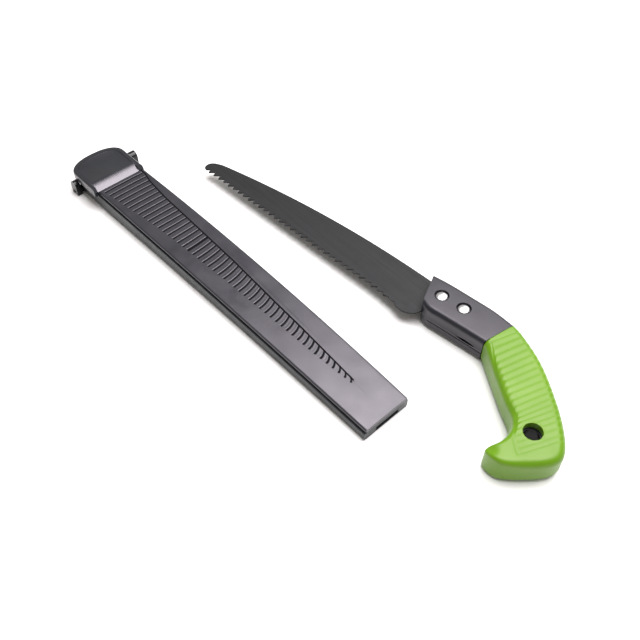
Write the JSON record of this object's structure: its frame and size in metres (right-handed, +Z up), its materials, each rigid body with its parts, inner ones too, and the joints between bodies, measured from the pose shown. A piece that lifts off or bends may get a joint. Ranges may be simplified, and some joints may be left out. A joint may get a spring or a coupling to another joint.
{
  "type": "pruning saw with belt sheath",
  "caption": "Fixed-blade pruning saw with a hooked pistol grip, lying beside its ribbed belt sheath with a hinged belt hanger.",
  "frame": {"origin": "centre of the bounding box's bottom face, on the surface both pieces lie on", "axes": "+X along the sheath from its mouth to its toe, +Y from the sheath towards the saw, +Z up from the surface"},
  "size_m": [0.5203, 0.1656, 0.0255],
  "materials": {
    "shell_black": "satin black, fine grain",
    "collar_black": "satin black",
    "hanger_black": "gloss black",
    "blade_steel": "dark coated steel",
    "bright_steel": "bright",
    "core_black": "satin black",
    "green_rubber": "soft satin green"
  },
  "bodies": {
    "sheath": {"sheath_front_shell": "shell_black", "sheath_back_shell": "shell_black", "mouth_collar": "collar_black", "spring_rivet": "bright_steel", "hanger_pin": "bright_steel"},
    "retaining_spring": {"retaining_spring": "bright_steel"},
    "belt_hanger": {"belt_hanger": "hanger_black"},
    "saw": {"saw_blade": "blade_steel", "handle_core": "core_black", "handle_grip": "green_rubber", "blade_bolt_front": "bright_steel", "blade_bolt_rear": "bright_steel", "bolt_washer_front": "bright_steel", "bolt_washer_rear": "bright_steel", "sleeve_nut_front": "bright_steel", "sleeve_nut_rear": "bright_steel"}
  },
  "joints": [
    {"name": "spring_flex", "type": "hinge", "parent": "sheath", "child": "retaining_spring", "pos_m": [-0.2463, -0.0488, 0.0201], "axis": [0, -1, 0], "range_deg": [0, 3], "stiffness_Nm_per_rad": 0.3},
    {"name": "hanger_hinge", "type": "hinge", "parent": "sheath", "child": "belt_hanger", "pos_m": [-0.2453, -0.0488, 0.0036], "axis": [0, 1, 0], "range_deg": [0, 90]},
    {"name": "saw_lift", "type": "slide", "parent": "sheath", "child": "saw", "axis": [0, 0, 1], "range_m": [0, 0.1]}
  ]
}
